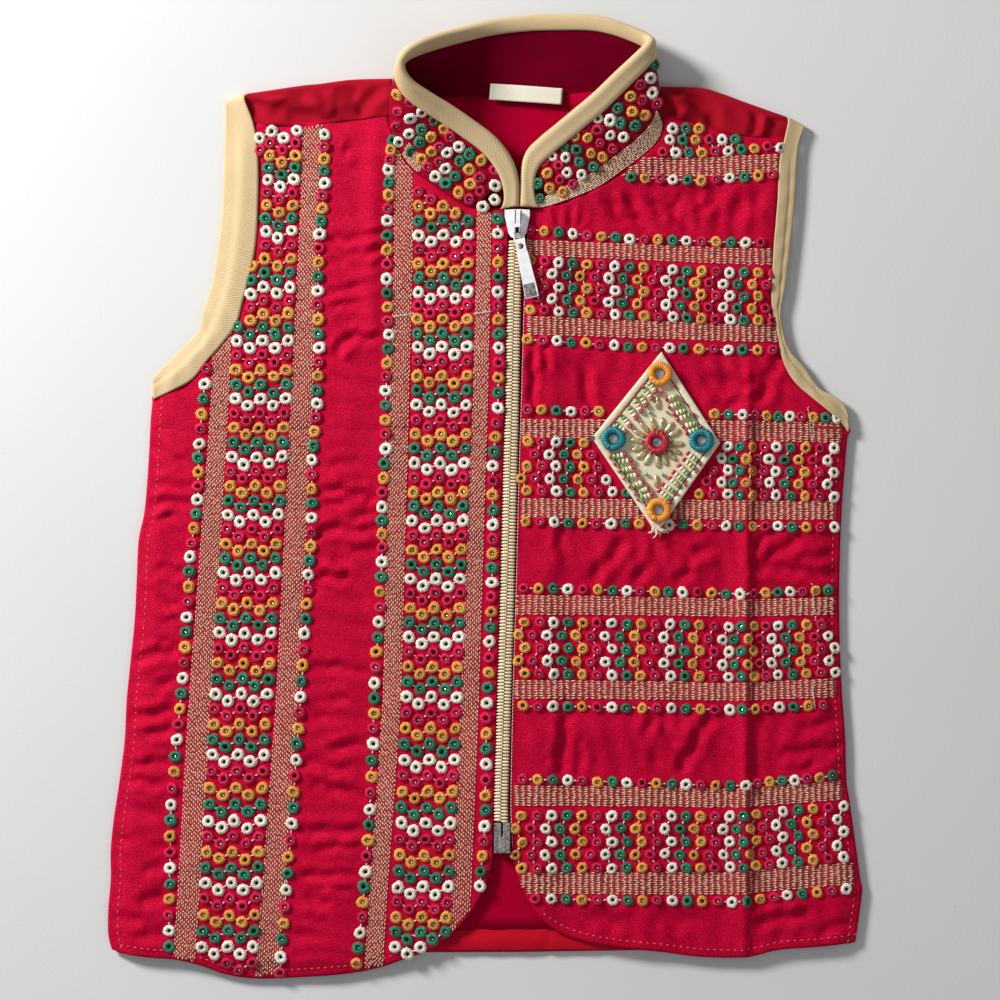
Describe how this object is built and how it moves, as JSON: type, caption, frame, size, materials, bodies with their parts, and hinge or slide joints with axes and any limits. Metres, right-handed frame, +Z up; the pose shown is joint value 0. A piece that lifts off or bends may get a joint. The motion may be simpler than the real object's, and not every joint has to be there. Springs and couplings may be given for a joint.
{
  "type": "embroidered child's zip waistcoat laid flat",
  "caption": "Child's sleeveless zip waistcoat with a stand collar, bound armholes, banded ring embroidery and a diamond patch, laid flat on its back.",
  "frame": {"origin": "centre of the bounding box, on the surface it lies on", "axes": "+X to the wearer's left (the picture's right), +Y from hem to collar, +Z up from the surface"},
  "size_m": [0.3022, 0.3854, 0.0274],
  "materials": {
    "silk_crimson": "slubbed silk, embroidered",
    "twill_red": "twill",
    "lining_red": "plain weave",
    "collar_cloth": "embroidered outside, plain inside",
    "twill_cream": "twill binding",
    "label_cream": "woven, blank",
    "tape_red": "woven tape",
    "coil_cream": "coil zip",
    "zip_metal": "polished",
    "pewter": "worn",
    "patch_cream": "stitched ground and rim",
    "thread_orange": "thread ring",
    "thread_teal": "thread ring",
    "thread_red": "thread ring",
    "mirror": "small round mirror",
    "petal_gold": "antique gold"
  },
  "bodies": {
    "garment": {"back_hem_turnup": "twill_red", "back_lining": "lining_red", "back_panel": "twill_red", "binding_armhole_left": "twill_cream", "binding_armhole_right": "twill_cream", "collar": "collar_cloth", "collar_binding": "twill_cream", "front_wearer_left": "silk_crimson", "front_wearer_right": "silk_crimson", "neck_label": "label_cream", "patch_flower": "petal_gold", "patch_ground": "patch_cream", "patch_mirror_bottom": "mirror", "patch_mirror_centre": "mirror", "patch_mirror_left": "mirror", "patch_mirror_right": "mirror", "patch_mirror_top": "mirror", "patch_rim": "patch_cream", "patch_ring_bottom": "thread_orange", "patch_ring_centre": "thread_red", "patch_ring_left": "thread_teal", "patch_ring_right": "thread_teal", "patch_ring_top": "thread_orange", "zip_bottom_box": "pewter", "zip_chain": "coil_cream", "zip_slider": "zip_metal", "zip_tape_left": "tape_red", "zip_tape_right": "tape_red"},
    "pull_tab": {"zip_pull_tab": "zip_metal"}
  },
  "joints": [
    {"name": "pull_tab_hinge", "type": "hinge", "parent": "garment", "child": "pull_tab", "pos_m": [0.0129, 0.1063, 0.0082], "axis": [-0.9755, -0.2199, 0], "range_deg": [0, 120]}
  ]
}
